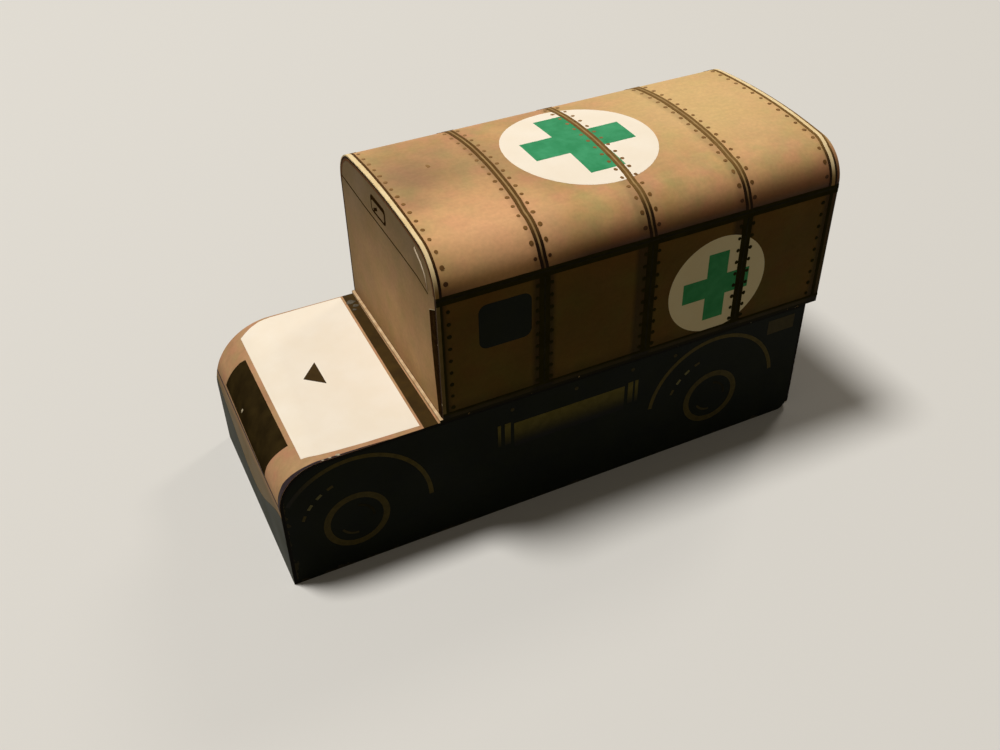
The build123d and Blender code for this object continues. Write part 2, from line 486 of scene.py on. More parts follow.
def rubbed(tree, place, colour, wear):
    # ink rubbed off in small patches along folds and cut edges
    split = addNode(tree, "ShaderNodeSeparateXYZ", {"Vector": place}).outputs
    reach = wandering(tree, place, wear["chip"], inkCover["chips"], (0.0, wear["width"]))
    for axis, edge in wear["edges"]:
        away = addNode(tree, "ShaderNodeMath", {0: split[axis], 1: edge}, operation="SUBTRACT").outputs[0]
        away = addNode(tree, "ShaderNodeMath", {0: away}, operation="ABSOLUTE").outputs[0]
        bare = addNode(tree, "ShaderNodeMath", {0: away, 1: reach}, operation="LESS_THAN").outputs[0]
        colour = washed(tree, colour, wear["colour"], bare, (0.0, 1.0), (0.0, wear["share"]))
    return colour


def flatInk(name, ink):
    # One ink colour on card: slightly uneven cover, rubbed off along the edges it reaches
    look = {**usualInk, **ink}
    material, tree = newMaterial(name)
    place = inMillimetres(tree)
    colour = clouded(tree, place, (look["patch"], inkCover["cloudDetail"]), inkCover["clouds"],
                     (look["thick"], look["thin"]))
    colour = faded(tree, place, colour, look.get("fades", ()))
    if "wear" in look:
        colour = rubbed(tree, place, colour, look["wear"])
    inkSkin(tree, place, colour, look)
    return material


# blacks and near blacks: dull, with a cast of brown or green
blackChassis = flatInk("blackInkOnCard", {
    "thick": "#0b0d07", "thin": "#13150c", "patch": 2.0, "roughness": 0.66, "gloss": 0.05,
    "wear": {"edges": (("Y", stripFront + 0.3), ("Z", 0.0)), "chip": (0.9, 4.0), "width": 0.45, "share": 0.3,
             "colour": "#5a513d"},
})
blackBand = flatInk("thickBlackInk", {
    "thick": "#271e0e", "thin": "#352a14", "patch": 1.6, "roughness": 0.7, "gloss": 0.0})
sideBand = flatInk("greenBlackInk", {
    "thick": "#2f2c14", "thin": "#39351a", "patch": 1.6, "roughness": 0.7, "gloss": 0.0})
bandInk = flatInk("warmBlackInk", {"thick": "#362710", "thin": "#453314", "patch": 1.6, "gloss": 0.05})
lineInk = flatInk("darkBrownLineInk", {
    "thick": "#29190a", "thin": "#3a2912", "patch": 0.5, "roughness": 0.7, "gloss": 0.0})
# browns of the roof: they darken towards the gutter as painted shade, where the tan does too
roofLineInk = flatInk("brownRoofLineInkWithPaintedShade", {
    "thick": "#6e5128", "thin": "#7e6034", "patch": 0.6, "roughness": 0.7, "gloss": 0.05,
    "fades": (("Y", -14.0, 13.0, "#4a2f12", 0.9), ("Z", gutter + 1.9, gutter + 3.6, "#1e1109", 0.95)),
})
goldInk = flatInk("goldBrownLineInkWithPaintedShade", {
    "thick": "#937348", "thin": "#a98a58", "patch": 1.0,
    "fades": (("Z", gutter, gutter + 3.0, "#4e331e", 0.85),),
})
rivetInk = flatInk("softBrownDotInkWithPaintedShade", {
    "thick": "#745127", "thin": "#886436", "patch": 0.5,
    "fades": (("across", -9.0, 5.0, "#a98558", 0.55), ("Z", gutter + 0.6, gutter + 3.6, "#33190b", 0.9)),
})
# pale ones: trim, bare discs and the cross on them
# cream trim, darkened towards the gutter as painted shade
creamInk = flatInk("creamTrimInkWithPaintedShade", {
    "thick": "#e6ca95", "thin": "#f2dcae", "patch": 1.0,
    "fades": (("Z", gutter, gutter + 2.4, "#8a6433", 0.9),),
})
# the cream trim where it runs down a side, darkened to olive tan as painted shade
creamTrimInShade = flatInk("creamTrimPaintedShade", {"thick": "#645330", "thin": "#725f39", "patch": 1.0})
whiteCard = flatInk("unprintedWhiteCard", {
    "thick": "#f6e9d4", "thin": "#f9eedc", "patch": 3.3, "roughness": 0.66, "gloss": 0.05})
greenInk = flatInk("firstAidGreenInk", {"thick": "#2f8a58", "thin": "#419b6a", "patch": 1.2})
# olives of the chassis, some so faint that they only just show on the black
oliveInk = flatInk("oliveLineInk", {"thick": "#3c3419", "thin": "#4c4220", "patch": 0.7, "gloss": 0.08})
archInk = flatInk("fadingLineInk", {
    "thick": "#443b1b", "thin": "#554a23", "patch": 0.7, "gloss": 0.08,
    "fades": (("Y", -27.0, -22.5, "#131109", 1.0),),
})
dimOlive = flatInk("dimOliveInk", {"thick": "#342e19", "thin": "#403820", "patch": 0.7, "gloss": 0.06})
faintInk = flatInk("faintOliveInk", {"thick": "#211f12", "thin": "#2e2a1a", "patch": 0.7, "gloss": 0.02})
paleInk = flatInk("paleDashInk", {"thick": "#625f42", "thin": "#7c7856", "patch": 0.5, "gloss": 0.08})
# dark foot of the front face: painted shade
frontFootShade = flatInk("darkFootPaintedShade", {"thick": "#191c11", "thin": "#292b1b", "patch": 2.0, "gloss": 0.08})
# what hands left: marker, smudges, rubbed edges and glue
violetInk = flatInk("markerOnEdge", {"thick": "#231a1e", "thin": "#362729", "patch": 0.5})
smudge = flatInk("greySmudge", {"thick": "#453e32", "thin": "#6a6456", "patch": 0.5, "roughness": 0.7})
wornInk = flatInk("rubbedInk", {"thick": "#a3967a", "thin": "#cfc2a6", "patch": 0.4, "roughness": 0.75})
# brown line along the plate's arch and beside the glue: a dark joint, with painted shadow of the gap between
# plate and wrap
seamAndGapShadow = flatInk("brownSeamAndPaintedGapShadow", {
    "thick": "#5f3d1e", "thin": "#744d2c", "patch": 0.5, "roughness": 0.7, "gloss": 0.05})
glueInk = flatInk("driedGlue", {
    "thick": "#e2cfb2", "thin": "#f4e6cf", "patch": 0.4,
    "fades": (("Z", gutter - 0.4, gutter + 2.0, "#7d6243", 0.95),),
})


# Bare card
bareLook = {
    "roughness": 0.8, "gloss": 0.05, "clouds": (0.3, 0.7),
    "chips": (0.6, 3.0), "chipEdge": 0.05, "chippedCover": 0.25,    # where the marker's ink is chipped off
}


def bareCard(name, look):
    # Uncoated white card: felted fibres, a little yellowed; a cut edge is darkened with a marker
    material, tree = newMaterial(name)
    place = inMillimetres(tree)
    felt = paper["felt"]
    colour = clouded(tree, place, felt["patch"], bareLook["clouds"], (look["fibre"], look["card"]))
    if "ink" in look:
        # the marker's ink lies on the edges cut at the sides and is chipped off in places
        split = addNode(tree, "ShaderNodeSeparateXYZ", {"Vector": place}).outputs
        across = addNode(tree, "ShaderNodeMath", {0: split["X"]}, operation="ABSOLUTE").outputs[0]
        atEdge = addNode(tree, "ShaderNodeMath", {0: across, 1: look["inkedFrom"]},
                         operation="GREATER_THAN").outputs[0]
        span = (look["wear"], look["wear"] + bareLook["chipEdge"])
        covered = wandering(tree, place, bareLook["chips"], span, (1.0, bareLook["chippedCover"]))
        inked = addNode(tree, "ShaderNodeMath", {0: atEdge, 1: covered}, operation="MULTIPLY").outputs[0]
        colour = addNode(tree, "ShaderNodeMix", {"Factor": inked, 6: colour, 7: linear(look["ink"])},
                         data_type="RGBA").outputs[2]
    cardSkin(tree, place, colour, bareLook["roughness"], bareLook["gloss"], felt)
    return material


plainCard = bareCard("uncoatedCard", {"fibre": "#ddd0b4", "card": "#efe5cf"})
bonnetEdge = bareCard("cardWithMarkedEdges", {
    "fibre": "#ddd0b4", "card": "#efe5cf", "ink": "#151310", "inkedFrom": chassisHalf - 0.05, "wear": 0.72})
floorEdge = bareCard("cardWithTanEdges", {
    "fibre": "#b8946a", "card": "#dcc199", "ink": "#1c190d", "inkedFrom": bodyHalf - 0.05, "wear": 0.7})
wrapEdge = bareCard("markedCutEdge", {
    "fibre": "#c9b48c", "card": "#e0cda6", "ink": "#35251a", "inkedFrom": -1.0, "wear": 0.7})
edgesOf = {
    "bonnet_strip": bonnetEdge, "chassis_rear_panel": bonnetEdge, "body_floor": floorEdge,
    "roof_wrap": wrapEdge, "body_side_left": wrapEdge, "body_side_right": wrapEdge,
}
for nodeName, node in nodes.items():
    node.data.materials.clear()
    node.data.materials.append(edgesOf.get(nodeName, plainCard))
print("card and inks made")


# Body: roof and sides are one printed wrap
bodyPrint = {
    # middle and reach round the body and along it, with half an arm's width for a cross
    "roofDisc": (-0.2, 6.8, 7.45, 7.17), "roofCross": (-0.46, 6.86, 5.55, 5.1, 1.74),
    # the same on a side, with the height in place of the way round
    "sideDisc": (19.29, 15.33, 5.09, 5.28), "sideCross": (19.15, 15.2, 3.6, 3.6, 1.1),
    "window": (20.05, 24.55, -8.85, -3.9, 0.8),    # foot, top, front, rear and corner
    "speck": (-2.45, -7.1, 0.2, 0.2),
    # a rib's gold core and dark lines on the roof, and half its dark band on a side
    "ribCore": 0.16, "ribLine": 0.28, "sideRibHalf": 0.5,
    "frontCream": (0.48, 0.3), "frontLine": 0.24,    # cream of the front trim at the right and left gutter
    # lines along the card's front and rear edges, each from and to this far from the edge
    "sideFrontLine": (0.3, 0.52), "sideRearLine": (0.5, 0.82),
    "rearEdgeLine": (0.33, 0.55), "rearCream": (0.55, 0.91), "rearLine": (0.91, 1.17),
    # heights of the bands along a side, top and foot
    "gutterBand": (26.5, 25.65), "gutterGlint": (26.27, 26.08), "borderBand": (14.34, 14.12),
    # how far the ribs and the rear trim have slipped to the rear, at places round the roof from the right
    "ribSlip": ((-13.4, 0.0), (-12.0, 0.1), (-9.5, 0.24), (-6.0, 0.48), (-4.0, 0.52), (0.0, 0.42),
                (4.0, 0.2), (6.2, 0.02), (8.0, -0.24), (10.0, -0.25), (12.2, -0.2), (13.4, 0.0)),
    "rearSlip": ((-13.4, 0.0), (-12.4, 0.0), (-9.5, 0.65), (-4.0, 0.5), (4.0, 0.4), (8.0, 0.27), (9.6, 0.0),
                 (13.4, 0.0)),
    "noSlip": ((-13.4, 0.0), (13.4, 0.0)),
}
layInks(onBody, (
    ("roofPrint", [rectangle(-archHalf, archHalf, bodyFront, bodyRear)], 0, tanRoof),
    ("roofDisc", [oval(*bodyPrint["roofDisc"])], 1, whiteCard),
    ("roofCross", [crossOutline(*bodyPrint["roofCross"])], 2, greenInk),
    ("roofSpeck", [blot(*bodyPrint["speck"])], 1, rivetInk)))


def slipAt(u, slips):
    for (a, slip), (b, nextSlip) in zip(slips, slips[1:]):
        if u <= b:
            return slip + (nextSlip - slip) * max(u - a, 0.0) / (b - a)
    return slips[-1][1]


def slipped(low, high, slips):
    # line over the roof that has slipped along it, cut off at the card's rear edge
    places = [-archHalf] + [u for u, slip in slips[1:-1]] + [archHalf]
    quads = []
    for a, b in zip(places, places[1:]):
        corners = ((a, high), (a, low), (b, low), (b, high))
        quad = [(u, min(v + slipAt(u, slips), bodyRear)) for u, v in corners]
        if min(v for u, v in quad) < bodyRear:
            quads.append(quad)
    return quads


def rearTrim(outer, inner):
    return slipped(bodyRear - inner, bodyRear - outer, bodyPrint["rearSlip"])


def slippedRibs(lines):
    return [quad for a, b in lines for quad in slipped(a, b, bodyPrint["ribSlip"])]


halfCore = bodyPrint["ribCore"] / 2
ribDark = [sorted((rib + side * halfCore, rib + side * (halfCore + bodyPrint["ribLine"])))
           for rib in ribs for side in (-1, 1)]
ribGold = [(rib - halfCore, rib + halfCore) for rib in ribs]
rightCream, leftCream = bodyPrint["frontCream"]
frontDark = [(-archHalf, bodyFront + rightCream), (archHalf, bodyFront + leftCream),
             (archHalf, bodyFront + leftCream + bodyPrint["frontLine"]),
             (-archHalf, bodyFront + rightCream + bodyPrint["frontLine"])]
frontCream = [(-archHalf, bodyFront), (archHalf, bodyFront), frontDark[1], frontDark[0]]
darkLines = slippedRibs(ribDark) + [frontDark]
darkLines += rearTrim(*bodyPrint["rearEdgeLine"]) + rearTrim(*bodyPrint["rearLine"])
layInks(onBody, (
    ("roofDarkLines", darkLines, 3, roofLineInk), ("roofGoldLines", slippedRibs(ribGold), 3, goldInk),
    ("roofCreamLines", [frontCream] + rearTrim(*bodyPrint["rearCream"]), 3, creamInk)))


def sideSpan(zHigh, zLow, side):
    return sorted((sideU(zHigh, side), sideU(zLow, side)))


def toSide(outline, side):
    return [(sideU(z, side), y) for z, y in outline]


for sideName, side in (("Left", 1), ("Right", -1)):
    sheet = rectangle(*sideSpan(gutter, floorTop, side), bodyFront, bodyRear)
    crossZ, *crossShape = bodyPrint["sideCross"]
    reach = sideSpan(bodyPrint["gutterBand"][1], bodyPrint["borderBand"][0], side)
    bands = [rectangle(*sideSpan(*bodyPrint[key], side), bodyFront, bodyRear)
             for key in ("gutterBand", "borderBand")]
    half = bodyPrint["sideRibHalf"]
    lineStart, lineStop = bodyPrint["sideFrontLine"]
    upright = [(rib - half, rib + half) for rib in ribs] + [(bodyFront + lineStart, bodyFront + lineStop)]
    upright.append(sorted(bodyRear - fromEdge for fromEdge in bodyPrint["sideRearLine"]))
    bands += [rectangle(*reach, a, b) for a, b in upright]
    cores = [rectangle(*reach, a, b) for a, b in ribGold]
    cores.append(rectangle(*sideSpan(*bodyPrint["gutterGlint"], side), bodyFront, bodyRear))
    layInks(onBody, (
        ("sidePrint", [sheet], 0, oliveSide),
        ("sideDisc", [toSide(oval(*bodyPrint["sideDisc"]), side)], 1, whiteCard),
        ("sideCross", [crossOutline(sideU(crossZ, side), *crossShape)], 2, greenInk),
        ("window", [toSide(roundedBox(*bodyPrint["window"]), side)], 1, blackChassis),
        ("sideDarkLines", bands, 3, sideBand),
        ("sideTrimLines", [rectangle(*reach, bodyFront, bodyFront + lineStart)], 3, creamTrimInShade),
        ("sideRibCores", cores, 4, faintInk)), sideName)
print("body wrap printed")


# Printed rivets: one node tree sets a dot at each pitch along a row's path
rivets = {
    "roofPitch": 1.37, "roofCount": 19, "sidePitch": 1.26, "sideTop": 24.9, "sideCount": 9,
    "radius": 0.19, "facets": 12, "uneven": 0.15, "seed": 3,
    "fromRib": 0.68, "fromFront": 1.0, "fromRear": 1.5, "pathStep": 0.1,
    "height": 0.044,    # reaches from the card to just above the other prints
    "slack": 0.01,    # keeps the last rivet of a row on its path
}


def rivetTree():
    tree = bpy.data.node_groups.new("rivetRows", "GeometryNodeTree")
    tree.interface.new_socket("Geometry", in_out="INPUT", socket_type="NodeSocketGeometry")
    for label in ("Pitch", "Radius", "Height"):
        tree.interface.new_socket(label, in_out="INPUT", socket_type="NodeSocketFloat")
    tree.interface.new_socket("Facets", in_out="INPUT", socket_type="NodeSocketInt")
    tree.interface.new_socket("Seed", in_out="INPUT", socket_type="NodeSocketInt")
    tree.interface.new_socket("Ink", in_out="INPUT", socket_type="NodeSocketMaterial")
    tree.interface.new_socket("Geometry", in_out="OUTPUT", socket_type="NodeSocketGeometry")
    given = addNode(tree, "NodeGroupInput").outputs
    row = addNode(tree, "GeometryNodeCurveToPoints", {"Curve": given["Geometry"], "Length": given["Pitch"]},
                  mode="LENGTH")
    outward = addNode(tree, "ShaderNodeVectorMath", {0: row.outputs["Tangent"], 1: (0, 1, 0)},
                      operation="CROSS_PRODUCT")
    upright = addNode(tree, "FunctionNodeAlignRotationToVector", {"Vector": outward.outputs[0]}, axis="Z")
    least, most = 1 - rivets["uneven"], 1 + rivets["uneven"]
    size = addNode(tree, "FunctionNodeRandomValue", {"Min": (least, least, 1), "Max": (most, most, 1),
                   "Seed": given["Seed"]}, data_type="FLOAT_VECTOR")
    dot = addNode(tree, "GeometryNodeMeshCylinder", {"Vertices": given["Facets"], "Radius": given["Radius"],
                  "Depth": given["Height"]})
    dots = addNode(tree, "GeometryNodeInstanceOnPoints", {"Points": row.outputs["Points"], "Instance":
                   dot.outputs["Mesh"], "Rotation": upright.outputs[0], "Scale": size.outputs[0]})
    real = addNode(tree, "GeometryNodeRealizeInstances", {"Geometry": dots.outputs[0]})
    inked = addNode(tree, "GeometryNodeSetMaterial", {"Geometry": real.outputs[0], "Material": given["Ink"]})
    addNode(tree, "NodeGroupOutput", {"Geometry": inked.outputs[0]})
    return tree


rivetNodes = rivetTree()


def setRivets(name, paths, pitch, ink):
    curve = bpy.data.curves.new(name + "Path", "CURVE")
    curve.dimensions = "3D"
    for points in paths:
        spline = curve.splines.new("POLY")
        spline.points.add(len(points) - 1)
        for point, place in zip(spline.points, points):
            point.co = (*(place * mm), 1)
    holder = bpy.data.objects.new(name + "Path", curve)
    bpy.context.scene.collection.objects.link(holder)
    modifier = holder.modifiers.new("rivets", "NODES")
    modifier.node_group = rivetNodes
    values = {"Pitch": pitch * mm, "Radius": rivets["radius"] * mm, "Height": rivets["height"] * mm,
              "Facets": rivets["facets"], "Seed": rivets["seed"], "Ink": ink}
    for item in rivetNodes.interface.items_tree:
        if item.in_out == "INPUT" and item.name in values:
            modifier[item.identifier] = values[item.name]
    depsgraph = bpy.context.evaluated_depsgraph_get()
    mesh = bpy.data.meshes.new_from_object(holder.evaluated_get(depsgraph))
    mesh.name = name
    holder.modifiers.remove(modifier)
    bpy.data.objects.remove(holder)
    return keepPiece(name, mesh)


# each row has slipped over the roof with the rib or trim beside it
rows = [(rib + side * rivets["fromRib"], bodyPrint["ribSlip"]) for rib in ribs for side in (-1, 1)]
rows.append((bodyFront + rivets["fromFront"], bodyPrint["noSlip"]))
rows.append((bodyRear - rivets["fromRear"], bodyPrint["rearSlip"]))


def rowPaths(uStart, uStop):
    way = evenly(uStart, uStop + rivets["slack"], rivets["pathStep"])
    return [[onBody(u, v + slipAt(u, slips), rivets["height"] / 2) for u in way] for v, slips in rows]


roofReach = rivets["roofPitch"] * (rivets["roofCount"] - 1) / 2
sideReach = rivets["sidePitch"] * (rivets["sideCount"] - 1)
topU = sideU(rivets["sideTop"], 1)
setRivets("roofRivets", rowPaths(-roofReach, roofReach), rivets["roofPitch"], rivetInk)
setRivets("sideRivetsLeft", rowPaths(topU, topU + sideReach), rivets["sidePitch"], sideBand)
setRivets("sideRivetsRight", rowPaths(-topU - sideReach, -topU), rivets["sidePitch"], sideBand)
print("rivets set")


# End plates of the body
plates = {
    "line": ((-10.95, 27.0), (-5.0, 26.75), (4.0, 26.6), (7.5, 26.45), (9.7, 26.05)), "lineWidth": 0.13,
    "vent": (-2.8, 0.7, 27.45, 29.1), "ventCorner": 0.4, "ventLine": 0.25, "ventTopLine": 0.45,
    "ventFieldCorner": 0.25, "ventHook": ((-2.1, 27.8), (-1.2, 28.25)), "ventHookWidth": 0.3,
    "archShade": 0.2, "archCream": 0.06, "footLine": 0.12,
    "wedge": ((9.8, 24.55), (9.85, 21.3), (10.05, 18.0), (10.4, 13.72), (11.0, 13.72), (11.0, 25.2)),
    "wedgeEdge": ((9.8, 24.6), (11.0, 25.25)), "wedgeEdgeWidth": 0.04,
    "glue": ((7.31, 29.13), (7.95, 28.72), (8.54, 28.35), (9.02, 27.95), (9.35, 27.5), (9.55, 27.0),
             (9.7, 26.4)),
    "glueWidth": 0.2, "glueShade": -0.17,
    "rearLineZ": 27.03, "doorTop": 26.0, "doorFoot": 14.6, "doorHalf": 7.6, "doorLine": 0.18,
    "meeting": ((-0.2, -0.05), (0.05, 0.2)),    # two lines where the doors meet
    "hinges": (16.6, 20.4, 24.2), "hingeHalf": 0.15, "hingeReach": (-0.2, 0.7),    # past the door's edge
    "glassX": 3.7, "glassHalf": 1.9, "glassLow": 20.6, "glassHigh": 24.2, "glassCorner": 0.7,
    "handle": (0.5, 1.5, 18.2, 18.55),
}


def plateOutline(inset):
    # arch and walls of an end plate, drawn inside the wrap
    arch = [onBody(u, 0, -inset) for u in bodyCuts if abs(u) <= archHalf]
    points = sorted({(round(p.x, 4), round(p.z, 4)) for p in arch}, reverse=True)
    half = bodyHalf - inset
    return [(half, floorTop)] + points + [(-half, floorTop)]


def archStrip(inset, width):
    # band that follows the arch and leaves the walls out
    edge, inner = plateOutline(inset), plateOutline(inset + width)
    return [[edge[k], edge[k + 1], inner[k + 1], inner[k]] for k in range(1, len(edge) - 2)]


inside = bodyHalf - shape["card"]
plate = plateOutline(shape["card"])
shaded = archStrip(shape["card"], plates["archShade"])
shaded.append(rectangle(-inside, inside, floorTop, floorTop + plates["footLine"]))
ventLeft, ventRight, ventFoot, ventTop = plates["vent"]
line = plates["ventLine"]
field = roundedBox(ventLeft + line, ventRight - line, ventFoot + line, ventTop - plates["ventTopLine"],
                   plates["ventFieldCorner"])
seam = [(u + plates["glueShade"], v) for u, v in plates["glue"]]
layInks(onFrontPlate, (
    ("frontPlatePrint", [plate], 0, tanPlate), ("frontArchShade", shaded, 1, seamAndGapShadow),
    ("frontPlateLine", ribbon(plates["line"], plates["lineWidth"]), 1, lineInk),
    ("frontVentFrame", [roundedBox(*plates["vent"], plates["ventCorner"])], 2, lineInk),
    ("frontVentField", [field], 3, tanPlate),
    ("frontVentHook", ribbon(plates["ventHook"], plates["ventHookWidth"]), 4, lineInk),
    ("frontPlateGap", [plates["wedge"]], 2, lineInk),
    ("frontPlateSeam", ribbon(seam, plates["glueWidth"]), 2, seamAndGapShadow),
    ("frontPlateGlue", ribbon(plates["glue"], plates["glueWidth"]), 3, glueInk),
    ("frontPlateWorn", ribbon(plates["wedgeEdge"], plates["wedgeEdgeWidth"]), 3, wornInk)))
# the wrap's own cream edge, seen from the front
layInk("frontArchCream", archStrip(0.0, plates["archCream"]), onFrontPlate, 0, creamInk)

doorSpan = (plates["doorFoot"], plates["doorTop"])
doors = lineFrame(-plates["doorHalf"], plates["doorHalf"], *doorSpan, plates["doorLine"])
doors += [rectangle(a, b, *doorSpan) for a, b in plates["meeting"]]
doors += ribbon(((-inside, plates["rearLineZ"]), (inside, plates["rearLineZ"])), plates["lineWidth"])
glasses = []
for side in (-1, 1):
    hinge = sorted(side * (plates["doorHalf"] + past) for past in plates["hingeReach"])
    doors += [rectangle(*hinge, z - plates["hingeHalf"], z + plates["hingeHalf"]) for z in plates["hinges"]]
    middle = side * plates["glassX"]
    glasses.append(roundedBox(middle - plates["glassHalf"], middle + plates["glassHalf"], plates["glassLow"],
                              plates["glassHigh"], plates["glassCorner"]))
layInks(onRearPlate, (
    ("rearPlatePrint", [plate], 0, tanPlate), ("rearDoorLines", doors, 1, lineInk),
    ("rearDoorWindows", glasses, 1, blackChassis),
    ("rearDoorHandle", [rectangle(*plates["handle"])], 1, lineInk)))
print("end plates printed")


# Bonnet strip: front face, rolled nose, bonnet and deck. Places are (way up the strip, across)
bonnet = {
    "white": ((14.07, 9.85), (15.3, 10.26), (16.65, 10.42), (19.5, 10.6), (22.5, 10.68), (24.48, 10.74),
              (24.87, -11.08), (20.6, -11.06), (17.5, -11.0), (16.2, -10.9), (15.1, -10.6), (13.84, -10.1)),
    "black": ((13.58, 7.4), (12.68, 7.2), (11.82, 6.97), (10.92, 6.72), (9.47, 6.5), (9.55, -7.65),
              (10.23, -7.55), (11.47, -7.35), (12.64, -7.15), (13.34, -6.8)),
    "triangle": ((17.42, -0.08), (19.15, 1.45), (19.13, -2.06)),
    "band": ((24.7, 11.2), (26.05, 11.2), (26.22, -11.2), (25.12, -11.2)),
    "fold": ((9.0, -11.15), (9.45, 11.15)), "foldWidth": 0.16,
    "nearEdge": ((9.2, 11.19), (21.5, 11.19), (19.0, 11.06), (16.0, 11.0), (14.2, 10.95), (12.9, 10.72),
                 (11.7, 10.48), (10.4, 10.6), (9.2, 10.85)),
    "underBody": 0.5,    # the print runs on under the body's front
    # wave of the upper edge of the dark foot, painted shade low on the front face: its least height, its
    # rise, half its length and the edge's tilt
    "shadeFoot": 3.3, "shadeRise": 5.2, "shadeReach": 12.6, "shadeTilt": 0.013, "shadeStep": 0.8,
    "chips": ((10.5, -2.0, 0.14), (16.9, 11.02, 0.13), (16.2, 11.06, 0.09), (15.6, 11.1, 0.07)),
    "smudges": ((25.5, -9.8, 0.3), (25.75, -9.0, 0.2), (25.4, -8.4, 0.14)), "ragged": 0.3,
}


def shadeTop(v):
    wave = (1 - math.cos(math.pi * v / bonnet["shadeReach"])) / 2
    return bonnet["shadeFoot"] + bonnet["shadeTilt"] * v + bonnet["shadeRise"] * wave


printRear = deckU(bodyFront + bonnet["underBody"])
foot = [(0.0, chassisHalf), (0.0, -chassisHalf)]
foot += [(shadeTop(v), v) for v in evenly(-chassisHalf, chassisHalf, bonnet["shadeStep"])]
layInks(onBonnet, (
    ("bonnetPrint", [rectangle(0.0, printRear, -chassisHalf, chassisHalf)], 0, tanBonnet),
    ("bonnetWhite", [bonnet["white"]], 1, whiteCard), ("bonnetTriangle", [bonnet["triangle"]], 2, bandInk),
    ("noseBlack", [bonnet["black"]], 1, blackBand), ("bonnetBand", [bonnet["band"]], 1, bandInk),
    ("noseFoldLine", ribbon(bonnet["fold"], bonnet["foldWidth"]), 2, violetInk),
    ("noseEdgeInk", [bonnet["nearEdge"]], 2, violetInk), ("frontLower", [foot], 1, frontFootShade),
    ("bonnetChips", [blot(*spot, bonnet["ragged"]) for spot in bonnet["chips"]], 3, wornInk),
    ("bandSmudges", [blot(*spot, bonnet["ragged"]) for spot in bonnet["smudges"]], 3, smudge)))
print("bonnet strip printed")


# Chassis sides and tail
wheels = {    # angles are degrees up from the rear
    "frontY": -21.32, "rearY": 16.25, "z": 5.44, "ringOuter": 3.12, "ringInner": 2.5,
    "hubOuter": 1.74, "hubInner": 1.5, "hubArcs": ((-5, 82, "Upper"), (208, 270, "Lower")),
    "archRadius": 7.2, "archLine": 0.42, "rearArch": (8, 172),
    "archEnds": {"Left": 145, "Right": 122},    # where the front arch runs out at the nose
    "dashRadius": 5.15, "dashWidth": 0.28, "dashTurn": 3.4, "dashes": (141, 127), "faintDashes": (155, 113),
}
tank = {
    "front": -5.65, "rear": 6.05, "top": 10.5, "foot": 7.7, "darkFoot": 0.2,
    "straps": ((-7.3, -7.0), (-6.6, -6.0), (6.43, 6.97), (7.2, 7.55)), "strapLow": 8.2, "strapHigh": 10.75,
    "bolts": (-5.8, 0.8, 6.85, 11.55), "boltZ": 12.2, "boltRadius": 0.2,
}
locker = (22.4, 25.55, 10.95, 12.57)    # front, rear, foot and top
crushed = 1.0    # rounding of the rear bottom corner on the left
cardTop = deck - shape["card"]


def sideOutline(roll, corner):
    # a flat side of the chassis inside the strip, with its own roll at the nose
    radius = roll - shape["card"]
    outline = [(stripFront + shape["card"], 0.0)]
    outline += [(stripFront + roll - radius * math.cos(t), deck - roll + radius * math.sin(t))
                for t in turns(0, 90, 24) + [math.pi / 2]]
    rear = stripRear - shape["card"]
    outline.append((rear, cardTop))
    if not corner:
        return outline + [(rear, 0.0)]
    return outline + [(rear - corner + corner * math.cos(t), corner + corner * math.sin(t))
                      for t in reversed(turns(270, 360, 8) + [math.radians(360)])]


def archPart(y, start, stop):
    half = wheels["archLine"] / 2
    return arcBand(y, wheels["z"], wheels["archRadius"] + half, wheels["archRadius"] - half, start, stop, 36)


def dashesAt(y, angles):
    half = wheels["dashWidth"] / 2
    outer, inner = wheels["dashRadius"] + half, wheels["dashRadius"] - half
    return [quad for angle in angles for quad in
            arcBand(y, wheels["z"], outer, inner, angle - wheels["dashTurn"], angle + wheels["dashTurn"], 4)]


# Olive drum of the tank: light on top, faded to black at its foot
tankInk = flatInk("fadingOliveInk", {
    "thick": "#5e562b", "thin": "#6e6537", "patch": 0.8, "gloss": 0.06,
    "fades": (("Z", tank["foot"] + tank["darkFoot"], tank["top"], "#0f0e0a", 1.0),),
})
for sideName, surface, roll, corner in (("Left", onLeft, shape["leftRoll"], crushed),
                                        ("Right", onRight, shape["rightRoll"], 0.0)):
    rings, bright, faint = [], [], []
    hubs = {"Upper": [], "Lower": []}
    for y in (wheels["frontY"], wheels["rearY"]):
        rings += arcBand(y, wheels["z"], wheels["ringOuter"], wheels["ringInner"])
        for start, stop, part in wheels["hubArcs"]:
            hubs[part] += arcBand(y, wheels["z"], wheels["hubOuter"], wheels["hubInner"], start, stop, 16)
        bright += dashesAt(y, wheels["dashes"])
        faint += dashesAt(y, wheels["faintDashes"])
    arches = archPart(wheels["frontY"], 0, wheels["archEnds"][sideName])
    arches += archPart(wheels["rearY"], *wheels["rearArch"])
    straps = [rectangle(a, b, tank["strapLow"], tank["strapHigh"]) for a, b in tank["straps"]]
    bolts = [oval(y, tank["boltZ"], tank["boltRadius"], tank["boltRadius"], 12) for y in tank["bolts"]]
    drum = rectangle(tank["front"], tank["rear"], tank["foot"], tank["top"])
    layInks(surface, (
        ("chassisPrint", [sideOutline(roll, corner)], 0, blackChassis), ("wheelRings", rings, 1, oliveInk),
        ("hubGlint", hubs["Upper"], 1, faintInk), ("hubRim", hubs["Lower"], 1, dimOlive),
        ("wheelArches", arches, 1, archInk), ("tyreDashes", bright, 1, paleInk),
        ("tyreFaintDashes", faint, 1, oliveInk), ("fuelTank", [drum], 1, tankInk),
        ("tankStraps", straps, 2, tankInk), ("beamBolts", bolts, 2, dimOlive),
        ("rearLocker", [rectangle(*locker)], 1, dimOlive)), sideName)
print("chassis sides printed")

